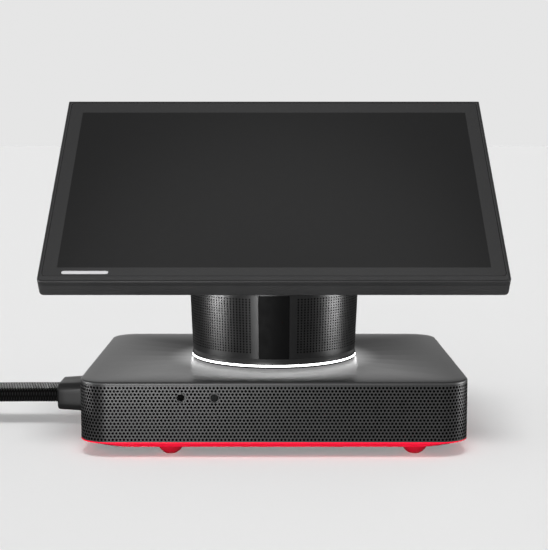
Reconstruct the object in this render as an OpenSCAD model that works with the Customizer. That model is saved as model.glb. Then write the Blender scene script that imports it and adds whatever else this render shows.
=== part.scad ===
// Smart display: a tilting touch screen on a swivelling speaker column and a flat computer base,
// with a sleeved cable loom. +Z up, +X to the viewer's right, +Y to the back.
// The origin lies on the table under the middle of the base. Sizes in millimetres.

/* [Base] */
// Width of the base
base_w = 196; // [192:1:200]
// Depth of the base
base_d = 158.5; // [156:0.5:162]
// Height of the base's top above the table
base_top = 38; // [37.5:0.5:39]
// Plan radius of the base's corners
base_r = 15; // [12:1:18]
// Thickness of the perforated wall
wall = 1.2; // [1:0.1:1.4]
// Height of the feet under the base
foot_h = 4.6; // [4:0.1:5]
// Radius of a foot's dome
foot_r = 6.8; // [6:0.1:7]

/* [Column] */
// Radius of the column's grille at its foot
column_r = 45; // [44.6:0.1:45.6]
// How much the column's radius grows for each millimetre of height
column_flare = 0.0426; // [0.03:0.001:0.05]
// Height of the column's top above the table
column_top = 78.5; // [78:0.1:79]
// Half width of the smooth strip down the column
strip_half = 7.8; // [7:0.1:9]

/* [Display] */
// Width of the display
display_w = 242.2; // [240:0.1:244]
// Height of the display along its face
display_h = 148.2; // [147:0.1:150]
// Thickness of the display
display_t = 10.2; // [10:0.1:11]
// Tilt of the screen from level at rest
tilt = 39.6; // [38:0.1:40]
// Height of the tilt hinge above the table
hinge_z = 104; // [103:0.5:105]
// Distance from the display's lower edge to the hinge, along the face
hinge_up = 55.6; // [54:0.1:57]
// Distance from the hinge's axis to the display's back
hinge_gap = 12; // [12:0.1:13]

/* [Cable] */
// Width of the flat cable loom
loom_w = 23; // [22:0.5:24]
// Thickness of the cable loom
loom_t = 7.6; // [7:0.1:7.6]
// Inner radius of the coil's turns
coil_in = 57; // [56.5:0.1:57.5]
// Outer radius of the coil's solid
coil_out = 83.9; // [83.8:0.1:84.2]

/* [Hidden] */
$fn = 64;

eps = 0.01;
rim = 0.3; // gap between moving bodies
fit = 0.05; // radial clearance of a running fit

grille_low = 7.75; // underside of the perforated wall
grille_high = 36.2; // top of the perforated wall
front_y = -base_d / 2;
hole_z = 30.1; // height of the two round holes in the front
hole_r = 2;
jack_x = -46.3;
jack_r = 1.8;
jack_deep = 14;
sensor_x = -29.6;
socket_low = 26.8; // the front board's top, and the foot of the jack and the sensor
socket_high = 33;

floor_z = 10.4; // top of the chassis floor
post_x = 28; // posts that carry the swivel plate
post_y = 38;
post_top = 31.5;
plate_t = 2.5;
plate_top = post_top + plate_t;
case_x = 88; // screws that hold the bottom cover to the chassis
case_y = 66;
screw_r = 1.5;
board_z = 14; // underside of the main board
board_t = 1.6;
board_top = board_z + board_t;
card_z = 17.2; // underside of the plug-in cards
foot_places = [[-52.3, -67.6], [71.2, -67.6], [-71.2, 62], [71.2, 62]];
dish_r = 23; // plan radius of the bottom cover's lower corners
hatch = [96, 48]; // size of the cable hatch under the base
hatch_at = [-30, 8];

button_x = -70;
button_z = 23;
button_r = 4;

fan_at = [62, 30];
fan_size = 56;
fan_z = 17;
fan_h = 11;
fan_r = 24; // tip radius of the rotor
fan_shaft_r = 1.5;
fan_blades = 19;
fins_y = 60;
fin_count = 14;

hub_r = 13; // swivel shaft
hub_bore = 9;
hub_flange_r = 24;
opening_r = 26; // round opening in the base's top

column_low = 38.5; // underside of the column, just clear of the base
ring_low = 39.3;
collar_low = 40.7;
grille_foot = 43.5;
cap_low = column_top - 1.5;
frame_r = 43.4; // outer radius of the column's inner frame
frame_in = 41;
speaker_z = 60; // height of the loudspeakers' middle
strip_angle = asin((strip_half + 0.2) / column_r);
seam = 0.12; // angle left open beside a strip

neck_half = 15; // half width of the neck
neck_r = 8.5; // radius of the neck's head
neck_low = 42; // underside of the neck's flange
neck_flange = 4;
neck_screw_at = 16; // distance of the neck's screws from the column's axis
pin_r = 4;
knuckle_in = 16; // the display's knuckles start here
knuckle_out = 24;
washer_t = 0.7;
arm_half = 7.4; // half depth of the display's hinge arms
bracket_x = 29; // screws that hold the bracket to the display's back
bracket_y = 16;
bracket_t = 2.4;

glass_side = 1.9; // frame's lip beside the glass
glass_low = 4.1; // frame's lip under the glass
glass_high = 1.5; // frame's lip over the glass
glass_t = 1.1;
glass_drop = 0.1; // how far the glass lies under the frame's front
glass_up = (glass_low - glass_high) / 2; // how far the glass's middle is above the display's
back_edge = 0.6; // step that stands for the rounding of the back's edge
face_low_r = 2.7; // radius of the display's lower corners
face_high_r = 0.7; // radius of its upper corners
panel_w = 229;
panel_h = 134;
panel_t = 1.4;
backlight_t = 2.9;

relief_x = -120.4; // free end of the strain relief
relief_y = 7.4;
relief_z = 15.9;
relief_r = 4; // rounding of its section
relief_tip = [26, 13.4]; // width and height at its free end
relief_root = [28.5, 15.7]; // and at the base's wall
tie_t = 0.8;
tie_w = 12;
tie_angle = 150; // where the tie sits round the coil
coil_at = [-256, -72.6]; // middle of the coil
coil_z = tie_t + loom_w / 2;
coil_low = tie_t;
end_r = 50; // where the loom's free end leaves the coil
end_angle = 250;
end_turn = 104; // and the way it points
end_bend = 60; // angle over which it leaves
connector_l = 28;

// Route of the loom's middle from the strain relief to the coil, and how far it has turned on edge
run_route = [
  [-120.4, 7.4, 15.9, 0], [-136, 7.4, 15.9, 0], [-152, 7.4, 15.8, 0], [-168, 7.4, 15.6, 0],
  [-182, 7.4, 15.4, 0], [-192, 7.4, 15.1, 3], [-201, 7.4, 14.6, 14], [-210, 7.4, 14.1, 31],
  [-219, 7.4, 13.5, 50], [-228, 7.4, 13, 68], [-237, 7.4, 12.6, 82], [-246, 7.4, 12.3, 89],
  [-256, 7.4, 12.3, 90]
];

function column_radius(z) = column_r + (z - 44) * column_flare;

module rounded(w, d, r) {
  square([w - 2 * r, d], center = true);
  square([w, d - 2 * r], center = true);
  for (x = [-1, 1], y = [-1, 1])
    translate([x * (w / 2 - r), y * (d / 2 - r)])
      circle(r);
}

module slab(w, d, r, z, h) {
  translate([0, 0, z])
    linear_extrude(h)
      rounded(w, d, r);
}

module ring_wall(w, d, r, t, z, h) {
  translate([0, 0, z])
    linear_extrude(h)
      difference() {
        rounded(w, d, r);
        rounded(w - 2 * t, d - 2 * t, r - t);
      }
}

module tube(r_out, r_in, z, h) {
  translate([0, 0, z])
    difference() {
      cylinder(r = r_out, h = h);
      translate([0, 0, -1])
        cylinder(r = r_in, h = h + 2);
    }
}

module rod_x(r, x0, x1) {
  translate([x0, 0, 0])
    rotate([0, 90, 0])
      cylinder(r = r, h = x1 - x0);
}

module rod_y(r, y0, y1) {
  translate([0, y1, 0])
    rotate([90, 0, 0])
      cylinder(r = r, h = y1 - y0);
}

module block(x0, x1, y0, y1, z0, z1) {
  translate([x0, y0, z0])
    cube([x1 - x0, y1 - y0, z1 - z0]);
}

// A pan-head screw with a six-sided socket, head up, its head's underside at the origin
module screw(r, head_r, head_h, length) {
  difference() {
    union() {
      translate([0, 0, -length])
        cylinder(r = r, h = length + eps);
      cylinder(r = head_r, h = head_h);
    }
    translate([0, 0, head_h * 0.4])
      cylinder(r = head_r * 0.45, h = head_h, $fn = 6);
  }
}

// The display's own frame: X across, Y up its face from the lower edge, Z out of the screen
module at_display() {
  translate([0, 0, hinge_z])
    rotate([tilt, 0, 0])
      translate([0, -hinge_up, hinge_gap + display_t])
        children();
}

module four_posts() {
  for (x = [-1, 1], y = [-1, 1])
    translate([x * post_x, y * post_y, 0])
      children();
}

module case_screw_places() {
  for (x = [-case_x, case_x], y = [-case_y, case_y])
    translate([x, y, 0])
      children();
}

// The neck's four screws, about the column's axis
module neck_screw_places() {
  for (a = [45:90:315])
    rotate([0, 0, a])
      translate([neck_screw_at, 0, 0])
        children();
}

// The bracket's four screws, in the display's frame
module bracket_screw_places() {
  for (x = [-bracket_x, bracket_x], y = [-bracket_y, bracket_y])
    translate([x, hinge_up + y, -display_t])
      children();
}

// ---- Base ----

module base_top_cover() {
  color("dimgray")
    difference() {
      union() {
        slab(base_w, base_d, base_r, grille_high, base_top - 0.8 - grille_high);
        slab(base_w - 0.8, base_d - 0.8, base_r - 0.4, base_top - 1, 1);
        ring_wall(base_w - 2 * wall - 0.2, base_d - 2 * wall - 0.2, base_r - wall - 0.1,
                  1.4, grille_high - 2.6, 2.8);
      }
      translate([0, 0, grille_high - 1])
        cylinder(r = opening_r, h = base_top);
    }
}

module base_grille() {
  color("#2b2b2d")
    difference() {
      ring_wall(base_w, base_d, base_r, wall, grille_low, grille_high - grille_low);
      for (x = [jack_x, sensor_x])
        translate([x, 0, hole_z])
          rod_y(hole_r, front_y - 1, front_y + 3);
      translate([button_x, 0, button_z])
        rod_y(button_r + rim, -front_y - 3, -front_y + 1);
      block(-base_w / 2 - 1, -base_w / 2 + 3, -4, 18.8, 10.6, 21.2);
    }
}

module base_chassis() {
  chassis_w = base_w - 2 * wall - 0.4;
  chassis_d = base_d - 2 * wall - 0.4;
  color("#3a3a3c")
    difference() {
      union() {
        slab(chassis_w, chassis_d, base_r - wall - 0.2, grille_low, floor_z - grille_low);
        four_posts()
          translate([0, 0, grille_low])
            cylinder(r = 4, h = post_top - grille_low);
        case_screw_places()
          translate([0, 0, grille_low])
            cylinder(r = 4, h = 7);
        for (x = [-70, 70], y = [-40, 52])
          translate([x, y, grille_low])
            cylinder(r = 3, h = board_z - grille_low);
        block(-52, -48, -70, -64, grille_low, socket_low - 1.4);
        block(-26, -22, -70, -64, grille_low, socket_low - 1.4);
        block(-77, -63, 67, 69, grille_low, 28);
      }
      four_posts()
        translate([0, 0, post_top - 7])
          cylinder(r = screw_r, h = 8);
      case_screw_places()
        translate([0, 0, grille_low - 1])
          cylinder(r = screw_r, h = 7.4);
      block(-hatch[0] / 2 + hatch_at[0] + 6, hatch[0] / 2 + hatch_at[0] - 6,
            hatch_at[1] - hatch[1] / 2 + 6, hatch_at[1] + hatch[1] / 2 - 6,
            grille_low - 1, floor_z + 1);
    }
}

module bottom_dish(inset, low) {
  hull() {
    slab(base_w - 2 * inset, base_d - 2 * inset, base_r - inset, grille_low - 0.6, 0.6);
    slab(base_w - 7.2 - 2 * inset, base_d - 7.2 - 2 * inset, dish_r - inset, low, 0.5);
  }
}

module bottom_cover() {
  color("crimson")
    difference() {
      bottom_dish(0, foot_h);
      difference() {
        translate([0, 0, 1.8])
          bottom_dish(3, foot_h);
        case_screw_places()
          translate([0, 0, foot_h])
            cylinder(r = 4.5, h = 10);
      }
      case_screw_places() {
        cylinder(r = screw_r + 0.2, h = 10);
        cylinder(r = 3.4, h = 6.8);
      }
      translate([hatch_at[0], hatch_at[1], 0])
        slab(hatch[0], hatch[1], 5, 3, 5);
      for (p = foot_places)
        translate([p[0], p[1], foot_h - 1])
          cylinder(r = foot_r, h = 1.8);
    }
}

module cable_hatch() {
  color("firebrick")
    translate([hatch_at[0], hatch_at[1], 0]) {
      slab(hatch[0] - 0.6, hatch[1] - 0.6, 4.7, foot_h, 1.8);
      slab(hatch[0] - 6, hatch[1] - 6, 3, foot_h + 1.8, grille_low - foot_h - 1.8);
      slab(hatch[0] - 14, hatch[1] - 14, 3, grille_low, 1);
    }
}

module feet() {
  centre = sqrt(foot_r * foot_r - 2.8 * 2.8);
  color("darkred")
    for (p = foot_places)
      translate([p[0], p[1], 0])
        union() {
          intersection() {
            translate([0, 0, centre])
              sphere(foot_r);
            cylinder(r = foot_r + 1, h = foot_h + 0.2);
          }
          translate([0, 0, foot_h])
            cylinder(r = foot_r - 0.6, h = 0.8);
        }
}

module chassis_screws() {
  color("silver")
    case_screw_places()
      translate([0, 0, 6.8])
        rotate([180, 0, 0])
          screw(screw_r, 2.8, 1.4, 7);
}

// ---- Electronics in the base ----

module main_board() {
  color("darkgreen")
    difference() {
      union() {
        block(-84, 84, -46, 58, board_z, board_top);
        block(-18, 83, -74, -46 + eps, board_z, board_top);
        // processor, chipset and memory sockets
        block(-5, 15, 50, 57, board_top, board_top + 1.2);
        block(-12, 12, 4, 22, board_top, board_top + 1.2);
        block(-68, -64, -12, 57, board_top, board_top + 9.6);
        // card sockets
        block(55, 61, -71, -51, board_top, card_z);
        block(64, 69, -71, -51, board_top, card_z);
        // power stage
        for (i = [0:5])
          block(-28 + i * 9, -22 + i * 9, -26, -20, board_top, board_top + 4);
        for (i = [0:5])
          translate([-22 + i * 8, -34, board_top])
            cylinder(r = 2.6, h = 6);
        // sockets that the loom plugs into
        for (i = [0:3])
          block(-83, -72, -40 + i * 13, -30 + i * 13, board_top, board_top + 6);
      }
      four_posts()
        translate([0, 0, board_z - 1])
          cylinder(r = 4.4, h = 4);
      for (y = [-9, 20])
        block(-85, -81, y, y + 6, board_z - 1, board_top + 1);
    }
}

module front_board() {
  color("darkgreen")
    block(-56, -18, -75.8, -61.6, socket_low - 1.4, socket_low);
}

module switch_board() {
  color("darkgreen")
    union() {
      block(button_x - 7, button_x + 7, 69, 70.6, 15, 28);
      block(button_x - 3, button_x + 3, 70.6 - eps, 72.2, button_z - 3, button_z + 3);
    }
}

module microphone_boards() {
  color("darkgreen")
    for (x = [-78, 78], y = [-62, 62])
      block(x - 7, x + 7, y - 4, y + 4, 34.6, grille_high);
}

module memory_modules() {
  color("green")
    for (i = [0:1])
      translate([0, 0, 20.4 + i * 3.4])
        union() {
          block(-64, -35, -12, 55.6, 0, 1);
          for (j = [0:3])
            block(-60, -50, -7 + j * 16, 4 + j * 16, 1 - eps, 1.9);
        }
}

module ssd_module() {
  color("teal")
    union() {
      block(-20, 60, -72, -50, card_z, card_z + 0.8);
      for (i = [0:3])
        block(-14 + i * 17, -1 + i * 17, -70, -52, card_z + 0.8 - eps, card_z + 2);
    }
}

module wireless_card() {
  color("teal")
    union() {
      block(64, 94, -72, -50, card_z, card_z + 0.8);
      block(71, 83, -68, -54, card_z + 0.8 - eps, card_z + 2.4);
    }
}

module heat_sink() {
  color("silver")
    union() {
      block(fan_at[0] - 27, fan_at[0] + 27, fins_y, fins_y + 15, fan_z, fan_z + 1.2);
      for (i = [0:fin_count - 1])
        translate([fan_at[0] - 26.6 + i * 4.04, fins_y, fan_z + 1])
          cube([0.7, 15, 9.6]);
      block(-14, fan_at[0] + 26, fins_y + 5, fins_y + 10, fan_z + 1, fan_z + 4);
      block(-14, 22, fins_y - 10, fins_y + 10, board_top + 1.2, fan_z + 1.2);
    }
}

module fan_housing() {
  color("#222224")
    translate([fan_at[0], fan_at[1], fan_z])
      difference() {
        union() {
          block(-fan_size / 2, fan_size / 2, -fan_size / 2, fan_size / 2, 0, fan_h);
          for (x = [-20, 20], y = [-22, 22])
            translate([x, y, board_top - fan_z])
              cylinder(r = 2, h = fan_z - board_top + eps);
        }
        translate([0, 0, 1.2])
          cylinder(r = fan_r + 1.5, h = fan_h - 2.4);
        translate([0, 0, 2])
          cylinder(r = 17, h = fan_h);
        block(-20, 20, 10, fan_size / 2 + 1, 1.2, fan_h - 1.2);
        translate([0, 0, -1])
          cylinder(r = fan_shaft_r + fit, h = 4);
      }
}

module fan_rotor() {
  color("#444446")
    translate([fan_at[0], fan_at[1], fan_z])
      union() {
        translate([0, 0, 0.1])
          cylinder(r = fan_shaft_r, h = 2.5);
        translate([0, 0, 2])
          cylinder(r = 9.5, h = 7.4);
        for (i = [0:fan_blades - 1])
          rotate([0, 0, i * 360 / fan_blades])
            translate([9, 0, 2.2])
              rotate([0, 0, -18])
                cube([fan_r - 9.6, 0.8, 6.8]);
      }
}

module headset_jack() {
  color("black")
    difference() {
      union() {
        block(jack_x - 4, jack_x + 4, front_y + wall + 2, front_y + wall + 15,
              socket_low, socket_high);
        translate([jack_x, 0, hole_z])
          rod_y(2.9, front_y + wall, front_y + wall + 3);
      }
      translate([jack_x, 0, hole_z])
        rod_y(jack_r, front_y + wall - 1, front_y + wall + jack_deep);
    }
}

module presence_sensor() {
  color("black")
    union() {
      block(sensor_x - 4, sensor_x + 4, front_y + wall + 2.4, front_y + wall + 9,
            socket_low, socket_high);
      translate([sensor_x, 0, hole_z])
        rod_y(2.4, front_y + wall + 0.5, front_y + wall + 3);
    }
}

module sensor_window() {
  color("#101014")
    translate([sensor_x, 0, hole_z])
      rod_y(hole_r - 0.04, front_y + 0.3, front_y + wall + 0.4);
}

module power_button() {
  color("#4a4a4c")
    translate([button_x, 0, button_z])
      union() {
        rod_y(button_r, -front_y - 2, -front_y - 0.2);
        rod_y(button_r + 1.6, -front_y - 3, -front_y - wall - rim);
        rod_y(1.5, 73.5, -front_y - 2);
      }
}

// ---- Swivel bearing ----

module swivel_plate() {
  color("gainsboro")
    difference() {
      slab(72, 96, 6, post_top, plate_t);
      translate([0, 0, post_top - 1])
        cylinder(r = 16, h = plate_t + 2);
      four_posts()
        translate([0, 0, post_top - 1])
          cylinder(r = screw_r + 0.2, h = plate_t + 2);
    }
}

module plate_screws() {
  color("silver")
    four_posts()
      translate([0, 0, plate_top])
        screw(screw_r, 2.8, 1.6, 9);
}

module swivel_bearing() {
  color("ivory")
    union() {
      tube(16, hub_r + fit, 30.5, plate_top - 30.5);
      tube(hub_flange_r, hub_r + fit, plate_top, 2);
    }
}

module swivel_hub() {
  color("silver")
    difference() {
      union() {
        translate([0, 0, 26.4])
          cylinder(r = hub_r, h = 12);
        translate([0, 0, plate_top + 2 + rim])
          cylinder(r = hub_flange_r, h = column_low - plate_top - 2 - rim);
        translate([0, 0, column_low - eps])
          cylinder(r = 20, h = neck_low - column_low);
      }
      translate([0, 0, 26])
        cylinder(r = hub_bore, h = 20);
      neck_screw_places()
        translate([0, 0, column_low - 0.5])
          cylinder(r = screw_r, h = 5);
    }
}

module swivel_retainer() {
  color("slategray")
    tube(18, hub_r, 27.2, 3);
}

// ---- Column ----

module column_floor() {
  color("#151517")
    tube(44.6, 20, column_low, ring_low - column_low);
}

module led_board() {
  color("white")
    union() {
      tube(40.4, 30, ring_low, 1.1);
      for (a = [0:15:345])
        rotate([0, 0, a])
          block(37, 40, -1.6, 1.6, ring_low + 1, ring_low + 1.6);
    }
}

module light_ring() {
  color("white")
    tube(column_r + 0.4, 40.8, ring_low, collar_low - ring_low);
}

module column_collar() {
  color("#1c1c1e")
    tube(column_r + 0.2, frame_r, collar_low, grille_foot - collar_low);
}

module column_frame() {
  color("#2a2a2c")
    difference() {
      tube(frame_r, frame_in, collar_low, cap_low - collar_low);
      for (s = [-1, 1])
        block(min(s * 30, s * 50), max(s * 30, s * 50), -23, 23, 46.5, 73);
      for (s = [-1, 1])
        block(-12, 12, min(s * 30, s * 50), max(s * 30, s * 50), 50, 70);
    }
}

// Part of the column's conical skin between two angles
module skin(inset, thick, z0, z1, from, sweep) {
  rotate([0, 0, from])
    rotate_extrude(angle = sweep, $fn = 96)
      polygon([
        [column_radius(z0) - inset - thick, z0], [column_radius(z0) - inset, z0],
        [column_radius(z1) - inset, z1], [column_radius(z1) - inset - thick, z1]
      ]);
}

module right_grille() {
  color("#2b2b2d")
    skin(0, 1, grille_foot, cap_low, strip_angle - 90, 180 - 2 * strip_angle);
}

module left_grille() {
  color("#2b2b2d")
    skin(0, 1, grille_foot, cap_low, 90 + strip_angle, 180 - 2 * strip_angle);
}

module front_strip() {
  color("#1a1a1c")
    skin(0.3, 1, grille_foot, cap_low, -90 - strip_angle + seam, 2 * (strip_angle - seam));
}

module rear_strip() {
  color("#1a1a1c")
    skin(0.3, 1, grille_foot, cap_low, 90 - strip_angle + seam, 2 * (strip_angle - seam));
}

module column_cap() {
  color("#222224")
    difference() {
      translate([0, 0, cap_low])
        cylinder(r = column_radius(cap_low) - 0.2, h = column_top - cap_low);
      block(-neck_half - 0.3, neck_half + 0.3, -neck_r - 0.3, neck_r + 0.3,
            cap_low - 1, column_top + 1);
    }
}

// A racetrack loudspeaker that faces +X
module speaker_basket() {
  translate([0, 0, speaker_z])
    rotate([90, 0, 90])
      difference() {
        union() {
          slab(44, 25, 12, 33, 1.5);
          slab(36, 20, 9.8, 24, 9.1);
          translate([0, 0, 17])
            cylinder(r = 10, h = 7.1);
        }
        translate([0, 0, 26])
          slab(32, 18, 8.8, 0, 10);
      }
}

module speaker_cone() {
  translate([0, 0, speaker_z])
    rotate([90, 0, 90])
      union() {
        slab(32, 18, 8.8, 31, 1.2);
        translate([0, 0, 26])
          cylinder(r = 5, h = 5.1);
        intersection() {
          translate([0, 0, 27.4])
            sphere(7.5);
          translate([0, 0, 32])
            cylinder(r = 9, h = 6);
        }
      }
}

module left_speaker_basket() {
  color("dimgray")
    rotate([0, 0, 180])
      speaker_basket();
}

module right_speaker_basket() {
  color("dimgray")
    speaker_basket();
}

module left_speaker_cone() {
  color("#303034")
    rotate([0, 0, 180])
      speaker_cone();
}

module right_speaker_cone() {
  color("#303034")
    speaker_cone();
}

module neck() {
  color("#3c3c3e")
    difference() {
      union() {
        translate([0, 0, neck_low])
          cylinder(r = 24, h = neck_flange);
        block(-neck_half, neck_half, -neck_r, neck_r, neck_low, hinge_z);
        translate([0, 0, hinge_z])
          rod_x(neck_r, -neck_half, neck_half);
      }
      translate([0, 0, hinge_z])
        rod_x(pin_r + fit, -neck_half - 1, neck_half + 1);
      // the way up for the display's harness, and its way out at the back
      block(-7, 7, -4, 4, neck_low - 1, 92);
      block(-7, 7, 0, 12, 84, 92);
      neck_screw_places()
        translate([0, 0, neck_low - 1])
          cylinder(r = screw_r + 0.2, h = neck_flange + 2);
    }
}

module neck_screws() {
  color("silver")
    neck_screw_places()
      translate([0, 0, neck_low + neck_flange])
        screw(screw_r, 2.6, 1.6, 7);
}

module friction_washers() {
  color("goldenrod")
    for (s = [-1, 1])
      translate([0, 0, hinge_z])
        difference() {
          rod_x(8, min(s * neck_half, s * (neck_half + washer_t)),
                max(s * neck_half, s * (neck_half + washer_t)));
          rod_x(pin_r + fit, -20, 20);
        }
}

module display_harness() {
  color("black")
    union() {
      translate([0, 0, 24])
        cylinder(r = 3, h = 64);
      block(-5, 5, 0, 9.5, 85.5, 88);
    }
}

// ---- Hinge and display ----

// The display's outline drawn in by a margin: lower corners rounder than the upper ones
module face_outline(inset) {
  w = display_w - 2 * inset;
  h = display_h - 2 * inset;
  low = max(face_low_r - inset, 0.5);
  high = max(face_high_r - inset, 0.5);
  square([w - 2 * low, h], center = true);
  translate([-w / 2, low - h / 2])
    square([w, h - low - high]);
  translate([high - w / 2, low - h / 2])
    square([w - 2 * high, h - low]);
  for (x = [-1, 1]) {
    translate([x * (w / 2 - low), low - h / 2])
      circle(low);
    translate([x * (w / 2 - high), h / 2 - high])
      circle(high);
  }
}

module face_slab(inset, z, h) {
  translate([0, display_h / 2, z])
    linear_extrude(h)
      face_outline(inset);
}

// A slab with the outline of the glass's recess, drawn in by a margin
module glass_slab(inset, r, z, h) {
  translate([0, display_h / 2 + glass_up, 0])
    slab(display_w - 2 * glass_side - 2 * inset,
         display_h - glass_low - glass_high - 2 * inset, r, z, h);
}

// A slab of the panel's size behind the glass
module panel_slab(z, h) {
  translate([0, display_h / 2 + glass_up, 0])
    slab(panel_w, panel_h, 1, z, h);
}

// An arm from the display's back that ends in an eye round the pin
module knuckle(x) {
  translate([x, 0, hinge_z])
    rotate([90, 0, 90])
      linear_extrude(knuckle_out - knuckle_in)
        rotate(tilt)
          difference() {
            union() {
              circle(neck_r);
              translate([-arm_half, 0])
                square([2 * arm_half, hinge_gap - 1]);
            }
            circle(pin_r);
          }
}

module hinge_bracket() {
  color("#2c2c2e")
    difference() {
      union() {
        knuckle(-knuckle_out);
        knuckle(knuckle_in);
        at_display()
          translate([0, hinge_up, 0])
            slab(68, 44, 4, -display_t - bracket_t, bracket_t);
      }
      at_display()
        bracket_screw_places()
          translate([0, 0, -4])
            cylinder(r = 1.6, h = 6);
    }
}

module hinge_pin() {
  color("silver")
    translate([0, 0, hinge_z])
      rod_x(pin_r, -knuckle_out - 0.6, knuckle_out + 0.6);
}

module bracket_screws() {
  color("silver")
    at_display()
      bracket_screw_places()
        translate([0, 0, -bracket_t])
          rotate([180, 0, 0])
            screw(1.4, 2.6, 1.5, 4);
}

module display_back_cover() {
  color("#333335")
    at_display()
      difference() {
        union() {
          face_slab(0, back_edge - display_t, display_t - back_edge - 3);
          face_slab(back_edge, -display_t, back_edge + eps);
        }
        face_slab(1.8, -display_t + 2, 8);
        bracket_screw_places()
          translate([0, 0, -1])
            cylinder(r = 1.5, h = 4);
      }
}

module display_frame() {
  color("#4a4a4c")
    at_display()
      difference() {
        face_slab(0, -3, 3);
        glass_slab(3, 1, -4, 5);
        glass_slab(0, 2.2, -glass_t - glass_drop, 3);
      }
}

module cover_glass() {
  color("#202022")
    at_display()
      glass_slab(0.1, 2.1, -glass_t - glass_drop, glass_t);
}

module lcd_panel() {
  color("#141416")
    at_display()
      panel_slab(-glass_t - glass_drop - panel_t, panel_t);
}

module backlight_unit() {
  color("silver")
    at_display()
      panel_slab(-glass_t - glass_drop - panel_t - backlight_t, backlight_t);
}

module display_board() {
  color("darkgreen")
    at_display()
      union() {
        block(-60, 60, 84, 124, -7.6, -6.6);
        for (i = [0:4])
          block(-52 + i * 22, -40 + i * 22, 92, 104, -6.7, -5.7);
        block(-12, 12, 112, 120, -6.7, -5.7);
      }
}

// ---- Cable ----

module relief_end(x, size) {
  translate([x, relief_y, relief_z])
    rotate([90, 0, 90])
      linear_extrude(0.6)
        rounded(size[0], size[1], relief_r);
}

module cable_strain_relief() {
  color("#303032")
    union() {
      hull() {
        relief_end(relief_x, relief_tip, $fn = 32);
        relief_end(-base_w / 2 - 0.6, relief_root, $fn = 32);
      }
      block(-base_w / 2 - eps, -base_w / 2 + wall + 0.2, -3.9, 18.7, 10.7, 21.1);
      block(-base_w / 2 + wall + 0.1, -base_w / 2 + 6, -6, 20.8, 10.7, 23);
    }
}

// Corners of the loom's section, rounded at its edges, turned on edge by a
function loom_ring(p) = [
  for (c = [[1, 0.55], [0.96, 0.88], [0.82, 1], [-0.82, 1], [-0.96, 0.88], [-1, 0.55],
            [-1, -0.55], [-0.96, -0.88], [-0.82, -1], [0.82, -1], [0.96, -0.88], [1, -0.55]])
    let (u = c[0] * loom_w / 2, v = c[1] * loom_t / 2)
    [p[0], p[1] + u * cos(p[3]) - v * sin(p[3]), p[2] + u * sin(p[3]) + v * cos(p[3])]
];

module cable_run() {
  sides = 12;
  last = len(run_route) - 1;
  color("#4a4a4c")
    polyhedron(
      points = [for (p = run_route) each loom_ring(p)],
      faces = concat(
        [[for (j = [sides - 1:-1:0]) j]],
        [for (i = [0:last - 1], j = [0:sides - 1])
          let (a = i * sides + j, b = i * sides + (j + 1) % sides)
          each [[a, b, b + sides], [a, b + sides, a + sides]]],
        [[for (j = [0:sides - 1]) last * sides + j]]
      )
    );
}

// The turns of the coil, and inside them the loom's end as it bends in to its connector
module cable_coil() {
  color("#4a4a4c")
    translate([coil_at[0], coil_at[1], 0])
      union() {
        tube(coil_out, coil_in, coil_low, loom_w);
        rotate([0, 0, end_angle - end_bend])
          rotate_extrude(angle = end_bend)
            translate([end_r - loom_t / 2, coil_low])
              square([coil_in - end_r + loom_t / 2 + 0.2, loom_w]);
      }
}

module cable_tie() {
  radial = coil_out - coil_in;
  color("#1b1b1d")
    translate([coil_at[0], coil_at[1], 0])
      rotate([0, 0, tie_angle])
        translate([0, tie_w / 2, 0])
          rotate([90, 0, 0])
            linear_extrude(tie_w)
              difference() {
                translate([coil_in - tie_t - 1.6, 0])
                  square([radial + 2 * tie_t + 2.4, loom_w + 2 * tie_t + 0.2]);
                translate([coil_in - 1.6, tie_t])
                  square([radial + 2.4, loom_w + 0.2]);
              }
}

module at_loom_end() {
  translate([coil_at[0], coil_at[1], coil_z])
    rotate([0, 0, end_angle])
      translate([end_r, 0, 0])
        rotate([0, 0, end_turn])
          children();
}

module cable_connector() {
  color("#28282a")
    at_loom_end()
      rotate([90, 0, 90])
        slab(9.5, 23.4, 2.4, 0, connector_l);
}

module connector_plugs() {
  color("silver")
    at_loom_end()
      union() {
        block(connector_l, connector_l + 8, -2.3, 2.3, -9, 3.6);
        translate([0, 0, 7.6])
          rod_x(2.3, connector_l, connector_l + 8);
      }
}

base_top_cover();
base_grille();
base_chassis();
bottom_cover();
cable_hatch();
feet();
main_board();
front_board();
switch_board();
microphone_boards();
memory_modules();
ssd_module();
wireless_card();
heat_sink();
fan_housing();
fan_rotor();
headset_jack();
presence_sensor();
sensor_window();
power_button();
chassis_screws();
swivel_plate();
plate_screws();
swivel_bearing();
swivel_hub();
swivel_retainer();
column_floor();
led_board();
light_ring();
column_collar();
column_frame();
left_grille();
right_grille();
front_strip();
rear_strip();
column_cap();
left_speaker_basket();
right_speaker_basket();
left_speaker_cone();
right_speaker_cone();
neck();
neck_screws();
friction_washers();
display_harness();
hinge_bracket();
hinge_pin();
bracket_screws();
display_back_cover();
display_frame();
cover_glass();
lcd_panel();
backlight_unit();
display_board();
cable_strain_relief();
cable_run();
cable_coil();
cable_tie();
cable_connector();
connector_plugs();
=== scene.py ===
"""Smart display: the looks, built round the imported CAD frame.

Lengths are in millimetres and angles in degrees unless a comment says otherwise.
"""
import math

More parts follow.
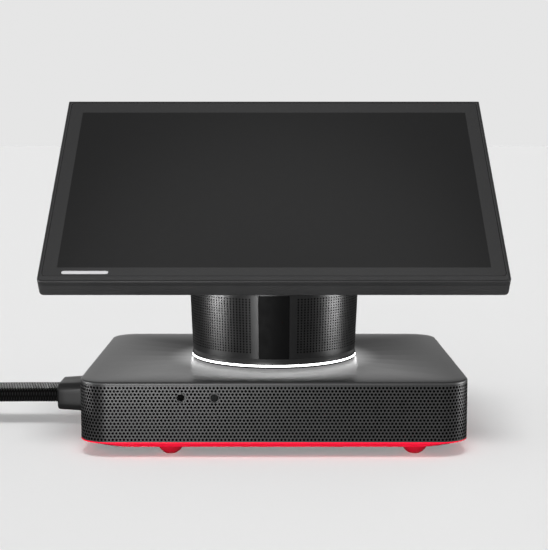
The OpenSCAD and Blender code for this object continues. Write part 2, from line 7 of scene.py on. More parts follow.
import bpy
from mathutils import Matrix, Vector


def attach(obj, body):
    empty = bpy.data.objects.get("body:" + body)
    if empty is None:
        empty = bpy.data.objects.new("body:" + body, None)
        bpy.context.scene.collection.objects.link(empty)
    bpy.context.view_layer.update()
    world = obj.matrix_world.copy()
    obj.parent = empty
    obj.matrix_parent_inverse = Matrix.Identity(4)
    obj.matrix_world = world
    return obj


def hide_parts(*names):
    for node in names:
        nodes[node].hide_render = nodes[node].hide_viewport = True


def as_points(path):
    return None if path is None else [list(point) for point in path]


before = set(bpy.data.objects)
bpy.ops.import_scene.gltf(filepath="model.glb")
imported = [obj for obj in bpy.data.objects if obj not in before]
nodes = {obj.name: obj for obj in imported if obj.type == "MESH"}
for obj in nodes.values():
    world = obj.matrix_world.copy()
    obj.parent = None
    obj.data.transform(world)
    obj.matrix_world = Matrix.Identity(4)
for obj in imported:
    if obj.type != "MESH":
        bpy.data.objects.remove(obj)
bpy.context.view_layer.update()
MM = 0.001

# ---- Sizes that the visual pieces share with the CAD ----

BASE_W, BASE_D, BASE_R = 196.0, 158.5, 15.0
BASE_TOP, BAND_LOW, GRILLE_LOW = 38.0, 36.2, 7.75
OPENING_R = 26.0
COLUMN_R, COLUMN_FOOT, COLUMN_FLARE = 45.0, 44.0, 0.0426  # radius, at which height, and growth
GRILLE_FOOT, CAP_LOW = 43.5, 77.0
STRIP_ANGLE = 10.24  # half the angle that a smooth strip takes
TILT, HINGE_Z, HINGE_UP, HINGE_GAP = 39.6, 104.0, 55.6, 12.0
DISPLAY_W, DISPLAY_H, DISPLAY_T = 242.2, 148.2, 10.2
FACE_LOW_R, FACE_HIGH_R = 2.7, 0.7  # radii of the display's lower and upper corners
GLASS_SIDE, GLASS_LOW, GLASS_HIGH = 1.9, 4.1, 1.5
ACTIVE_W, ACTIVE_H, ACTIVE_LOW = 223.6, 127.3, 10.3
LOOM_W, LOOM_T, LOOM_EDGE = 23.0, 7.6, 2.9
COIL_X, COIL_Y, COIL_Z, COIL_R = -256.0, -72.6, 12.3, 80.0
COIL_PITCH, COIL_TURN = 8.4, 880.0  # from turn to turn, and how far the loom winds
TAIL_TURN, TAIL_IN = 90.0, 9.47  # the last stretch, which bends in to the connector
ROUND = 48  # points round a small circle


# ---- Mesh helpers ----

def link(obj):
    bpy.context.scene.collection.objects.link(obj)
    return obj


def mesh_object(name, points, faces, sharp=40.0):
    """A mesh object from points in millimetres, smooth except across edges sharper than an angle."""
    mesh = bpy.data.meshes.new(name)
    mesh.from_pydata([(x * MM, y * MM, z * MM) for x, y, z in points], [], faces)
    mesh.validate()
    mesh.shade_smooth()
    mesh.set_sharp_from_angle(angle=math.radians(sharp))
    return link(bpy.data.objects.new(name, mesh))


def piece(name, points, faces, body, stands_for=(), sharp=40.0):
    """A visual piece that rides on a body and may replace CAD nodes, which it hides."""
    obj = mesh_object(name, points, faces, sharp)
    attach(obj, body)
    if stands_for:
        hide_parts(*stands_for)
    return obj


def loft(loops, closed=False, caps=(True, True)):
    """Points and faces through loops of equally many points. closed joins the last loop to the first."""
    count = len(loops[0])
    points = [p for loop in loops for p in loop]
    faces = []
    last = len(loops) if closed else len(loops) - 1
    for i in range(last):
        a, b = i * count, ((i + 1) % len(loops)) * count
        for j in range(count):
            k = (j + 1) % count
            faces.append((a + j, a + k, b + k, b + j))
    if not closed and caps[0]:
        faces.append(tuple(reversed(range(count))))
    if not closed and caps[1]:
        faces.append(tuple((len(loops) - 1) * count + j for j in range(count)))
    return points, faces


def rounded_loop(w, d, r, z, at=(0.0, 0.0), corner=10, side=6):
    """Anticlockwise points round a rounded rectangle, with some along each straight side."""
    points = []
    for k, (sx, sy) in enumerate(((1, 1), (-1, 1), (-1, -1), (1, -1))):
        cx, cy = sx * (w / 2 - r), sy * (d / 2 - r)
        arc = [math.radians(90 * k + 90 * i / corner) for i in range(corner + 1)]
        arc = [(cx + r * math.cos(a), cy + r * math.sin(a)) for a in arc]
        points += arc
        turn = ((-1, 1), (-1, -1), (1, -1), (1, 1))[k]
        nx, ny = turn[0] * (w / 2 - r), turn[1] * (d / 2 - r)
        b = math.radians(90 * (k + 1))
        end = (nx + r * math.cos(b), ny + r * math.sin(b))
        for i in range(1, side):
            t = i / side
            points.append((arc[-1][0] * (1 - t) + end[0] * t, arc[-1][1] * (1 - t) + end[1] * t))
    return [(x + at[0], y + at[1], z) for x, y in points]


def circle_like(loop, r, z):
    """A circle with as many points as a loop, each in the direction of the loop's own point."""
    angles = [math.atan2(y, x) for x, y, _ in loop]
    return [(r * math.cos(a), r * math.sin(a), z) for a in angles]


def turn_angles(count):
    """Angles in radians, evenly round a full turn."""
    return [2 * math.pi * k / count for k in range(count)]


def lathe(profile, count=160):
    """A closed profile of (radius, height) turned round the column's axis."""
    loops = [[(r * math.cos(a), r * math.sin(a), z) for a in turn_angles(count)] for r, z in profile]
    return loft(loops, closed=True)


def to_world(points):
    """From the display's own frame (across, up the face, out of it) to the part's frame."""
    c, s = math.cos(math.radians(TILT)), math.sin(math.radians(TILT))
    placed = []
    for x, up, out in points:
        y, z = up - HINGE_UP, out + HINGE_GAP + DISPLAY_T
        placed.append((x, y * c - z * s, HINGE_Z + y * s + z * c))
    return placed


def column_radius(z):
    return COLUMN_R + (z - COLUMN_FOOT) * COLUMN_FLARE


# ---- Material helpers ----

def tree_of(name):
    mat = bpy.data.materials.new(name)
    mat.use_nodes = True
    tree = mat.node_tree
    return mat, tree, tree.nodes["Principled BSDF"]


def add(tree, kind, **values):
    node = tree.nodes.new(kind)
    for key, value in values.items():
        if hasattr(node, key):
            setattr(node, key, value)
        else:
            node.inputs[key.replace("_", " ")].default_value = value
    return node


def object_coords(tree):
    return add(tree, "ShaderNodeTexCoord").outputs["Object"]


def noise(tree, scale, detail=3.0, rough=0.55):
    node = add(tree, "ShaderNodeTexNoise", Scale=scale, Detail=detail, Roughness=rough)
    tree.links.new(object_coords(tree), node.inputs["Vector"])
    return node.outputs["Fac"]


def map_range(tree, value, source, target):
    """Maps a value from one range to another, and holds it at the ends."""
    node = add(tree, "ShaderNodeMapRange")
    for name, number in zip(("From Min", "From Max", "To Min", "To Max"), (*source, *target)):
        node.inputs[name].default_value = number
    tree.links.new(value, node.inputs["Value"])
    return node.outputs["Result"]


def spread(tree, value, low, high):
    """Maps a noise value, mostly from 0.3 to 0.7, to a range."""
    return map_range(tree, value, (0.3, 0.7), (low, high))


def bump(tree, shader, height, distance, strength=1.0):
    node = add(tree, "ShaderNodeBump", Strength=strength, Distance=distance)
    tree.links.new(height, node.inputs["Height"])
    tree.links.new(node.outputs["Normal"], shader.inputs["Normal"])


def two_tone(tree, shader, value, dark, light):
    ramp = add(tree, "ShaderNodeValToRGB")
    ramp.color_ramp.elements[0].position = 0.35
    ramp.color_ramp.elements[1].position = 0.65
    ramp.color_ramp.elements[0].color = (*dark, 1)
    ramp.color_ramp.elements[1].color = (*light, 1)
    tree.links.new(value, ramp.inputs["Fac"])
    tree.links.new(ramp.outputs["Color"], shader.inputs["Base Color"])


def moulded(name, color, rough=0.45, spec=0.5, grain=3200.0, depth=0.00002, vary=0.12, uneven=0.12):
    """Moulded plastic or paint: slight mottling in colour and gloss, and a grain of a depth in metres."""
    mat, tree, shader = tree_of(name)
    dark = [c * (1 - vary) for c in color]
    light = [min(1.0, c * (1 + vary)) for c in color]
    two_tone(tree, shader, noise(tree, 90.0), dark, light)
    gloss = spread(tree, noise(tree, 240.0), rough * (1 - uneven), rough * (1 + uneven))
    tree.links.new(gloss, shader.inputs["Roughness"])
    shader.inputs["Specular IOR Level"].default_value = spec
    if depth:
        bump(tree, shader, noise(tree, grain, 2.0), depth)
    return mat


def painted_shade_below(mat, share):
    """Painted shade: dims the colour of the faces that look straight down, which only bounced light
    reaches.
    """
    tree = mat.node_tree
    shader = tree.nodes["Principled BSDF"]
    source = shader.inputs["Base Color"].links[0].from_socket
    split = add(tree, "ShaderNodeSeparateXYZ")
    tree.links.new(add(tree, "ShaderNodeTexCoord").outputs["Normal"], split.inputs["Vector"])
    down = map_range(tree, split.outputs["Z"], (-0.98, -0.9), (share, 1.0))
    scale = add(tree, "ShaderNodeVectorMath", operation="SCALE")
    tree.links.new(source, scale.inputs[0])
    tree.links.new(down, scale.inputs["Scale"])
    tree.links.new(scale.outputs["Vector"], shader.inputs["Base Color"])


def painted_ring_glow(mat, inner, outer, strength):
    """Painted light: a round glow in a surface's emission, from one radius to another about the column's
    axis, standing in for the lit ring's light on it.
    """
    tree = mat.node_tree
    shader = tree.nodes["Principled BSDF"]
    flat = add(tree, "ShaderNodeVectorMath", operation="MULTIPLY")
    flat.inputs[1].default_value = (1, 1, 0)
    tree.links.new(object_coords(tree), flat.inputs[0])
    radius = add(tree, "ShaderNodeVectorMath", operation="LENGTH")
    tree.links.new(flat.outputs["Vector"], radius.inputs[0])
    fall = map_range(tree, radius.outputs["Value"], (inner * MM, outer * MM), (1.0, 0.0))
    soft = add(tree, "ShaderNodeMath", operation="POWER")
    soft.inputs[1].default_value = 1.6
    tree.links.new(fall, soft.inputs[0])
    tree.links.new(soft.outputs["Value"], shader.inputs["Emission Color"])
    shader.inputs["Emission Strength"].default_value = strength


def metal(name, color, rough=0.3):
    """Bare metal with fine brushing or turning marks, drawn out along one axis."""
    mat, tree, shader = tree_of(name)
    shader.inputs["Metallic"].default_value = 1.0
    two_tone(tree, shader, noise(tree, 130.0), [c * 0.9 for c in color], color)
    mapping = add(tree, "ShaderNodeMapping")
    mapping.inputs["Scale"].default_value = (1.0, 1.0, 40.0)
    tree.links.new(object_coords(tree), mapping.inputs["Vector"])
    marks = add(tree, "ShaderNodeTexNoise", Scale=400.0, Detail=4.0)
    tree.links.new(mapping.outputs["Vector"], marks.inputs["Vector"])
    gloss = spread(tree, marks.outputs["Fac"], rough * 0.75, rough * 1.25)
    tree.links.new(gloss, shader.inputs["Roughness"])
    bump(tree, shader, marks.outputs["Fac"], 0.00002, 0.6)
    return mat


def glow(name, strength):
    """A milky diffuser that is lit white from inside, a little uneven."""
    mat, tree, shader = tree_of(name)
    shader.inputs["Base Color"].default_value = (0.9, 0.9, 0.9, 1)
    shader.inputs["Roughness"].default_value = 0.35
    shader.inputs["Emission Color"].default_value = (1, 1, 1, 1)
    tree.links.new(spread(tree, noise(tree, 60.0), strength * 0.94, strength * 1.06),
                   shader.inputs["Emission Strength"])
    return mat


def circuit(name, color, dark):
    """Solder mask with tracks and pads in regular lanes."""
    mat, tree, shader = tree_of(name)
    tracks = add(tree, "ShaderNodeTexBrick", Scale=260.0)
    tracks.inputs["Color1"].default_value = (*color, 1)
    tracks.inputs["Color2"].default_value = (*dark, 1)
    tracks.inputs["Mortar"].default_value = (color[0] * 2.5, color[1] * 1.6, color[2] * 2.0, 1)
    tracks.inputs["Mortar Size"].default_value = 0.012
    tree.links.new(object_coords(tree), tracks.inputs["Vector"])
    tree.links.new(tracks.outputs["Color"], shader.inputs["Base Color"])
    tree.links.new(spread(tree, noise(tree, 300.0), 0.3, 0.5), shader.inputs["Roughness"])
    bump(tree, shader, tracks.outputs["Fac"], 0.00003, 0.5)
    return mat


def braid(name, dark, light):
    """A braided sleeve: two sets of slanting strands that cross, along the loom and round it."""
    mat, tree, shader = tree_of(name)
    coords = add(tree, "ShaderNodeTexCoord").outputs["UV"]
    heights = []
    for slant in (0.25, -0.25):
        mapping = add(tree, "ShaderNodeMapping")
        mapping.inputs["Rotation"].default_value = (0, 0, slant)
        tree.links.new(coords, mapping.inputs["Vector"])
        wave = add(tree, "ShaderNodeTexWave", Scale=0.22, Distortion=0.25)
        tree.links.new(mapping.outputs["Vector"], wave.inputs["Vector"])
        heights.append(wave.outputs["Fac"])
    cross = add(tree, "ShaderNodeMath", operation="MULTIPLY")
    tree.links.new(heights[0], cross.inputs[0])
    tree.links.new(heights[1], cross.inputs[1])
    two_tone(tree, shader, cross.outputs["Value"], dark, light)
    shader.inputs["Roughness"].default_value = 0.6
    shader.inputs["Specular IOR Level"].default_value = 0.12
    shader.inputs["Sheen Weight"].default_value = 0.6
    shader.inputs["Sheen Roughness"].default_value = 0.16
    bump(tree, shader, cross.outputs["Value"], 0.0006, 1.0)
    return mat


# ---- The materials ----

TOP = moulded("top_satin_painted_glow", (0.018, 0.018, 0.0183), 0.28, 0.42, depth=0, vary=0.03, uneven=0.02)
# painted light: an emission glow on the base top that stands in for the lit ring's light
painted_ring_glow(TOP, 45.4, 60.0, 0.22)
# painted highlight: a lighter copy of the top's satin for the rim's upright faces
RIM_HIGHLIGHT = moulded("rim_satin_painted_highlight", (0.032, 0.032, 0.0325), 0.4, 0.5, 5200, 0.000001, 0.03, 0.02)
CAP = moulded("cap_satin", (0.010, 0.010, 0.0102), 0.34, 0.3, 5200, 0.000001, 0.03, 0.02)
WALL = moulded("grille_paint", (0.024, 0.024, 0.0242), 0.34, 0.5, 5200, 0.000002, 0.05)
# black felt, also used as painted shade on the walls inside the holes
FELT_AND_SHADE = moulded("black_felt_and_painted_shade", (0.0015, 0.0015, 0.0015), 0.9, 0.02, 5200, 0.00002, 0.2)
COLUMN_WALL = moulded("column_grille_paint", (0.007, 0.007, 0.0072), 0.33, 0.5, 5200, 0.000002, 0.05)
CHASSIS = moulded("chassis_plastic", (0.005, 0.005, 0.0052), 0.6, 0.2, 1500, 0.00002)
RED = moulded("red_satin_shaded_below", (0.84, 0.002, 0.034), 0.5, 0.2, 3200, 0.000002, 0.02)
# painted shade: the red cover's underside is dimmed to a tenth of its colour
painted_shade_below(RED, 0.1)
RED_RUBBER = moulded("red_rubber", (0.38, 0.001, 0.014), 0.62, 0.2, 2600, 0.000002, 0.03)
BOARD = circuit("solder_mask", (0.006, 0.055, 0.02), (0.004, 0.035, 0.013))
CARD = circuit("card_mask", (0.005, 0.02, 0.05), (0.004, 0.014, 0.035))
FINS = metal("fin_aluminium", (0.78, 0.78, 0.79), 0.3)
FAN = moulded("fan_plastic", (0.012, 0.012, 0.013), 0.4, 0.4)
JACK = moulded("connector_plastic", (0.004, 0.004, 0.004), 0.3, 0.4)
SMOKED = moulded("smoked_window", (0.001, 0.001, 0.0012), 0.2, 0.15, 3200, 0.000001, 0.05)
BUTTON = moulded("button_satin", (0.03, 0.03, 0.031), 0.35, 0.5)
SCREW = metal("screw_steel", (0.62, 0.62, 0.63), 0.35)
STEEL = metal("plate_steel", (0.56, 0.56, 0.57), 0.38)
ACETAL = moulded("bearing_acetal", (0.72, 0.69, 0.6), 0.4, 0.4)
HUB = metal("hub_aluminium", (0.6, 0.61, 0.62), 0.28)
LAMP_BOARD = moulded("lamp_board_white", (0.8, 0.8, 0.8), 0.4, 0.4)
RING = glow("lit_diffuser", 5.4)
COLLAR = moulded("collar_gloss", (0.012, 0.012, 0.0122), 0.36, 0.3, 3200, 0.000001, 0.05)
# the column's frame: near black, partly as painted shade behind the grille's holes
LINER_AND_SHADE = moulded("column_liner_black_painted_shade", (0.002, 0.002, 0.002), 0.7, 0.1)
FLOOR_DISC = moulded("column_floor_black", (0.004, 0.004, 0.004), 0.5, 0.2)
STRIP = moulded("strip_matt", (0.003, 0.003, 0.0031), 0.45, 0.05, 5200, 0.000002, 0.05)
SPEAKER = moulded("speaker_coat", (0.02, 0.02, 0.02), 0.5, 0.4)
CONE = moulded("speaker_paper", (0.01, 0.01, 0.011), 0.8, 0.2, 1800, 0.00008)
NECK = moulded("neck_paint", (0.02, 0.02, 0.021), 0.36, 0.45, 4200, 0.00002, 0.06)
BRONZE = metal("washer_bronze", (0.62, 0.42, 0.2), 0.35)
PIN = metal("pin_steel", (0.75, 0.75, 0.75), 0.16)
WIRE = moulded("wire_jacket", (0.006, 0.006, 0.006), 0.5, 0.4)
BACK = moulded("back_matt", (0.034, 0.034, 0.0345), 0.5, 0.4, 4200, 0.00001, 0.05)
FRAME = moulded("frame_satin", (0.024, 0.024, 0.0245), 0.42, 0.5, 5200, 0.000002, 0.04)
BORDER = moulded("glass_border", (0.0165, 0.0165, 0.0168), 0.14, 0.5, 3200, 0.0000005, 0.02)
SCREEN = moulded("glass_screen", (0.0016, 0.0016, 0.0017), 0.12, 0.45, 3200, 0.0000005, 0.02)
PANEL = moulded("panel_black", (0.005, 0.005, 0.006), 0.3, 0.4)
REFLECTOR = metal("reflector_silver", (0.7, 0.7, 0.72), 0.4)
RELIEF = moulded("relief_gloss", (0.010, 0.010, 0.0102), 0.36, 0.45, 3800, 0.000002, 0.04)
SLEEVE = braid("loom_sleeve", (0.0003, 0.0003, 0.0003), (0.016, 0.016, 0.0161))
TAPE = moulded("tie_tape", (0.01, 0.01, 0.011), 0.85, 0.2, 1400, 0.00012)
SHELLS = metal("plug_shells", (0.72, 0.72, 0.72), 0.22)
MARK = moulded("mark_print", (0.45, 0.45, 0.46), 0.4, 0.4, 3200, 0.000002, 0.04)


# ---- Camera: the photograph's own view ----

CAMERA_BACK, CAMERA_HEIGHT = 0.69425, 0.15772  # in metres
CAMERA_PITCH, CAMERA_LENS = 6.14, 82.49

camera_data = bpy.data.cameras.new("camera")
camera_data.lens = CAMERA_LENS
camera_data.sensor_width = 36.0
camera_data.clip_start = 0.01
camera_data.clip_end = 60.0
camera = link(bpy.data.objects.new("camera", camera_data))
camera.location = (0.0, -CAMERA_BACK, CAMERA_HEIGHT)
camera.rotation_euler = (math.radians(90 - CAMERA_PITCH), 0.0, 0.0)
bpy.context.scene.camera = camera


# ---- The cable loom ----

RUN_ROUTE = [  # the CAD's own points: the middle's place, and how far the loom has turned on edge
    (-120.4, 7.4, 15.9, 0), (-136, 7.4, 15.9, 0), (-152, 7.4, 15.8, 0), (-168, 7.4, 15.6, 0),
    (-182, 7.4, 15.4, 0), (-192, 7.4, 15.1, 3), (-201, 7.4, 14.6, 14), (-210, 7.4, 14.1, 31),
    (-219, 7.4, 13.5, 50), (-228, 7.4, 13, 68), (-237, 7.4, 12.6, 82), (-246, 7.4, 12.3, 89),
    (-256, 7.4, 12.3, 90),
]
RUN_STEPS, COIL_STEPS = 3, 150  # stations on each leg of the run, and round the coil


def loom_path():
    """Stations along the loom: place, and turn on edge."""
    stations = []
    for (x0, y0, z0, t0), (x1, y1, z1, t1) in zip(RUN_ROUTE, RUN_ROUTE[1:]):
        for i in range(RUN_STEPS):
            f = i / RUN_STEPS
            place = Vector((x0 + (x1 - x0) * f, y0 + (y1 - y0) * f, z0 + (z1 - z0) * f))
            stations.append((place, t0 + (t1 - t0) * f))
    for i in range(COIL_STEPS + 1):
        turned = COIL_TURN * i / COIL_STEPS
        tail = max(0.0, (turned - (COIL_TURN - TAIL_TURN)) / TAIL_TURN)
        r = COIL_R - COIL_PITCH * turned / 360 - TAIL_IN * tail * tail
        a = math.radians(90 + turned)
        place = Vector((COIL_X + r * math.cos(a), COIL_Y + r * math.sin(a), COIL_Z))
        stations.append((place, 90.0))
    return stations


def make_loom():
    """The flat sleeve, swept along its stations, with a UV map in millimetres along it and round it."""
    stations = loom_path()
    section = [(x, y) for x, y, _ in rounded_loop(LOOM_W, LOOM_T, LOOM_EDGE, 0.0, corner=5, side=5)]
    count = len(section)
    loops = []
    along = [0.0]
    for i, (place, turn) in enumerate(stations):
        before = stations[max(0, i - 1)][0]
        after = stations[min(len(stations) - 1, i + 1)][0]
        ahead = (after - before).normalized()
        if i:
            along.append(along[-1] + (place - before).length)
        across = Vector((0, 0, 1)).cross(ahead).normalized()
        up = ahead.cross(across)
        t = math.radians(turn)
        wide = across * math.cos(t) + up * math.sin(t)
        thick = ahead.cross(wide)
        loops.append([tuple(place + wide * -u + thick * v) for u, v in section])
    points, faces = loft(loops)
    obj = piece("cable_loom", points, faces, "base", ("cable_run", "cable_coil"), 60)
    around = [0.0]
    for j in range(count):
        x0, y0 = section[j]
        x1, y1 = section[(j + 1) % count]
        around.append(around[-1] + math.hypot(x1 - x0, y1 - y0))
    uv = obj.data.uv_layers.new(name="sleeve")
    for poly in obj.data.polygons:
        for corner, v in zip(poly.loop_indices, poly.vertices):
            j = v % count
            if j == 0 and any(w % count == count - 1 for w in poly.vertices):
                j = count
            uv.data[corner].uv = (along[v // count], around[j])
    obj.data.materials.append(SLEEVE)
    path = [tuple(place * MM) for place, _ in stations]
    length = along[-1] * MM
    return obj, path, length


def make_tie():
    """A strap of hook-and-loop tape round the coil's turns, with its free end lapped over."""
    angle = math.radians(150)
    inner, outer, low, high = 57.9, 82.5, 0.75, 23.95
    thick, half_wide, flap_half_wide = 0.75, 6, 5.4
    radial = Vector((math.cos(angle), math.sin(angle), 0))
    tangent = Vector((-math.sin(angle), math.cos(angle), 0))
    middle = Vector((COIL_X, COIL_Y, 0)) + radial * (inner + outer) / 2

    def place(out, side, z):
        return tuple(middle + radial * out + tangent * side + Vector((0, 0, z)))

    loops = []
    for grow, side in ((thick, -half_wide), (thick, half_wide), (0, half_wide), (0, -half_wide)):
        w, d = outer - inner + 2 * grow, high - low + 2 * grow
        loop = rounded_loop(w, d, 1.2 + grow, 0.0, corner=4, side=6)
        loops.append([place(x, side, y + (low + high) / 2) for x, y, _ in loop])
    points, faces = loft(loops, closed=True)
    start = len(points)
    flap_low, flap_high = high + thick, high + thick + 0.6
    for side in (-flap_half_wide, flap_half_wide):
        for out, z in ((-9.5, flap_low), (9.0, flap_low), (9.0, flap_high), (-9.5, flap_high)):
            points.append(place(out, side, z))
    for quad in ((0, 1, 2, 3), (7, 6, 5, 4), (0, 4, 5, 1), (1, 5, 6, 2), (2, 6, 7, 3), (3, 7, 4, 0)):
        faces.append(tuple(start + q for q in quad))
    obj = piece("cable_tie_strap", points, faces, "base", ("cable_tie",))
    obj.data.materials.append(TAPE)
    return obj


RELIEF_TIP, RELIEF_ROOT, RELIEF_END = -120.4, -98.6, -95.5  # places along X, from the loom inwards
RELIEF_W, RELIEF_H = (26.0, 28.5), (14.6, 16.9)  # width and height at the tip and at the root
RELIEF_Y, RELIEF_Z = 7.4, 15.3


def make_relief():
    """The moulded strain relief: a wide, soft-edged block that grows towards the base's wall."""
    soft, corner = 1.2, 4.0

    def section(x, inset):
        f = (x - RELIEF_TIP) / (RELIEF_ROOT - RELIEF_TIP)
        w, h = (tip + (root - tip) * f - 2 * inset for tip, root in (RELIEF_W, RELIEF_H))
        loop = rounded_loop(w, h, corner - inset, 0.0, corner=9, side=4)
        return [(x, RELIEF_Y + a, RELIEF_Z + b) for a, b, _ in loop]

    loops = [section(RELIEF_TIP, soft + 1.5)]
    for k in range(5, -1, -1):
        a = math.radians(18 * k)
        loops.append(section(RELIEF_TIP + soft * (1 - math.sin(a)), soft * (1 - math.cos(a))))
    loops += [section(x, 0) for x in (-116, -110, -104, -99, RELIEF_ROOT)]
    loops += [section(RELIEF_ROOT, 0.8), section(RELIEF_END, 1.6)]
    points, faces = loft(loops)
    obj = piece("strain_relief", points, faces, "base", ("cable_strain_relief",), 50)
    obj.data.materials.append(RELIEF)
    return obj


loom, loom_line, loom_length = make_loom()
relief = make_relief()
tie = make_tie()
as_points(loom_line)


# ---- Perforated sheets ----

def perforated(columns, rows, place, radius, pitch, thick, stagger=False, solid=None):
    """Points and faces of a sheet of cells with eight-sided holes, and which faces are inside the holes.

    place(u, v, depth) gives a point, with u and v counted in cells. Cells for which solid is true have
    no hole, and stagger shifts every second row by half a cell.
    """
    around = [(1, 0), (1, 1), (0, 1), (-1, 1), (-1, 0), (-1, -1), (0, -1), (1, -1)]
    hole = [(0.5 + radius / pitch[0] * math.cos(math.pi * k / 4),
             0.5 + radius / pitch[1] * math.sin(math.pi * k / 4)) for k in range(8)]
    points, faces, inside, found, edges = [], [], [], {}, set()

    def shared(key):
        if key not in found:
            found[key] = len(points)
            points.append(place(key[0] / 2, key[1] / 2, 0.0))
            points.append(place(key[0] / 2, key[1] / 2, thick))
        return found[key]

    for j in range(rows):
        shift = 1 if stagger and j % 2 else 0
        for i in range(columns):
            rim = [shared((2 * i + 1 + shift + du, 2 * j + 1 + dv)) for du, dv in around]
            for k in range(8):
                edges.add((rim[k], rim[(k + 1) % 8]))
            if solid and solid(i, j):
                faces.append(tuple(rim))
                faces.append(tuple(q + 1 for q in reversed(rim)))
                continue
            base = len(points)
            for hu, hv in hole:
                points.append(place(i + shift / 2 + hu, j + hv, 0.0))
                points.append(place(i + shift / 2 + hu, j + hv, thick))
            for k in range(8):
                n = (k + 1) % 8
                a, b = base + 2 * k, base + 2 * n
                faces.append((rim[k], rim[n], b, a))
                faces.append((rim[k] + 1, a + 1, b + 1, rim[n] + 1))
                inside.append(len(faces))
                faces.append((a, b, b + 1, a + 1))
    for a, b in edges:
        if (b, a) not in edges:
            faces.append((a, a + 1, b + 1, b))
    return points, faces, inside


def paint_sheet(obj, paint, inside):
    """Paint outside, and painted shade inside the holes: their walls take the black felt colour, so that
    the holes read dark.
    """
    obj.data.materials.append(paint)
    obj.data.materials.append(FELT_AND_SHADE)
    for index in inside:
        obj.data.polygons[index].material_index = 1


SHEET_T = 0.7
BASE_PERIMETER = 2 * (BASE_W + BASE_D - 4 * BASE_R) + 2 * math.pi * BASE_R
BASE_COLUMNS, BASE_ROWS = 366, 17
BASE_HOLE_R = 0.69
PLAIN_LOW, PLAIN_HIGH = 0.42, 0.23  # plain margins under and over the rows of holes


def base_wall_point(s, z, depth):
    """A point on the base's wall, s anticlockwise from the middle of its right side."""
    s %= BASE_PERIMETER
    half_w, half_d = BASE_W / 2, BASE_D / 2
    straight_w, straight_d = BASE_W - 2 * BASE_R, BASE_D - 2 * BASE_R
    arc = math.pi * BASE_R / 2
    runs = ((straight_d / 2, None), (arc, 0), (straight_w, None), (arc, 1), (straight_d, None),
            (arc, 2), (straight_w, None), (arc, 3), (straight_d / 2, None))
    starts = ((half_w, 0), None, (half_w - BASE_R, half_d), None, (-half_w, half_d - BASE_R), None,
              (-half_w + BASE_R, -half_d), None, (half_w, -half_d + BASE_R))
    headings = ((0, 1), None, (-1, 0), None, (0, -1), None, (1, 0), None, (0, 1))
    for (length, corner), start, heading in zip(runs, starts, headings):
        if s > length + 1e-9:
            s -= length
            continue
        if corner is None:
            nx, ny = heading[1], -heading[0]
            x = start[0] + heading[0] * s - nx * depth
            return (x, start[1] + heading[1] * s - ny * depth, z)
        sx, sy = ((1, 1), (-1, 1), (-1, -1), (1, -1))[corner]
        a = math.radians(90 * corner) + s / BASE_R
        r = BASE_R - depth
        x = sx * (half_w - BASE_R) + r * math.cos(a)
        return (x, sy * (half_d - BASE_R) + r * math.sin(a), z)
    return (half_w - depth, 0.0, z)


ROUND_HOLES = [  # front or back, place along X, height, radius of the opening
    (-1, -46.3, 30.1, 2.0), (-1, -29.6, 30.1, 2.0), (1, -70.0, 23.0, 4.3),
]


def wall_ring(inset, z):
    """The base's outline drawn in by a margin, at a height."""
    return rounded_loop(BASE_W - 2 * inset, BASE_D - 2 * inset, BASE_R - inset, z)


def cut(obj, tool):
    """Takes one mesh out of another, for good."""
    change = obj.modifiers.new("cut", "BOOLEAN")
    change.operation = "DIFFERENCE"
    change.solver = "EXACT"
    change.object = tool
    result = bpy.data.meshes.new_from_object(obj.evaluated_get(bpy.context.evaluated_depsgraph_get()))
    obj.modifiers.clear()
    obj.data = result
    bpy.data.objects.remove(tool)


def cut_opening(obj, side, x, z, r):
    """Cuts a round opening, a little wider than its size, through one side of the base."""
    reach, spare = 3, 0.2
    loops = []
    for y in (side * BASE_D / 2 - reach, side * BASE_D / 2 + reach):
        loops.append([(x + (r + spare) * math.cos(a), y, z - (r + spare) * math.sin(a))
                      for a in turn_angles(ROUND)])
    points, faces = loft(loops)
    cut(obj, mesh_object("hole_tool", points, faces))


def base_walls():
    """The base's perforated wall in two halves, because each piece has a limit of triangles."""
    rows_low, rows_high = GRILLE_LOW + PLAIN_LOW, BAND_LOW - PLAIN_HIGH
    pitch = (BASE_PERIMETER / BASE_COLUMNS, (rows_high - rows_low) / BASE_ROWS)

    def half(offset):
        def place(u, v, depth):
            return base_wall_point((u + offset) * pitch[0], rows_low + v * pitch[1], depth)
        return place

    for name, offset, stands in (("base_wall_rear", 0, ("base_grille",)),
                                 ("base_wall_front", BASE_COLUMNS // 2, ())):
        points, faces, inside = perforated(BASE_COLUMNS // 2, BASE_ROWS, half(offset), BASE_HOLE_R, pitch,
                                           SHEET_T, stagger=True)
        obj = piece(name, points, faces, "base", stands)
        paint_sheet(obj, WALL, inside)
        for side, x, z, r in ROUND_HOLES:
            if (side > 0) == (offset == 0):
                cut_opening(obj, side, x, z, r)


def wall_felt_and_shade():
    """The black dust felt behind the perforated wall, which also stands in as painted shade for the inside
    of the base, where the shadowless lamps would light the boards.
    """
    front, back, low, high = 0.85, 1.15, GRILLE_LOW + 0.1, BAND_LOW - 0.1
    outline = ((front, low), (front, high), (back, high), (back, low))
    points, faces = loft([wall_ring(inset, z) for inset, z in outline], closed=True)
    obj = piece("wall_felt_and_shade", points, faces, "base")
    obj.data.materials.append(FELT_AND_SHADE)
    for opening in ROUND_HOLES:
        cut_opening(obj, *opening)


def wall_margins():
    """The plain strips under and over the holes, one closed band each."""
    for name, z0, z1 in (("wall_margin_low", GRILLE_LOW, GRILLE_LOW + PLAIN_LOW),
                         ("wall_margin_high", BAND_LOW - PLAIN_HIGH, BAND_LOW)):
        loops = [wall_ring(inset, z) for inset, z in ((1.0, z0), (0.0, z0), (0.0, z1), (1.0, z1))]
        points, faces = loft(loops, closed=True)
        obj = piece(name, points, faces, "base")
        obj.data.materials.append(WALL)


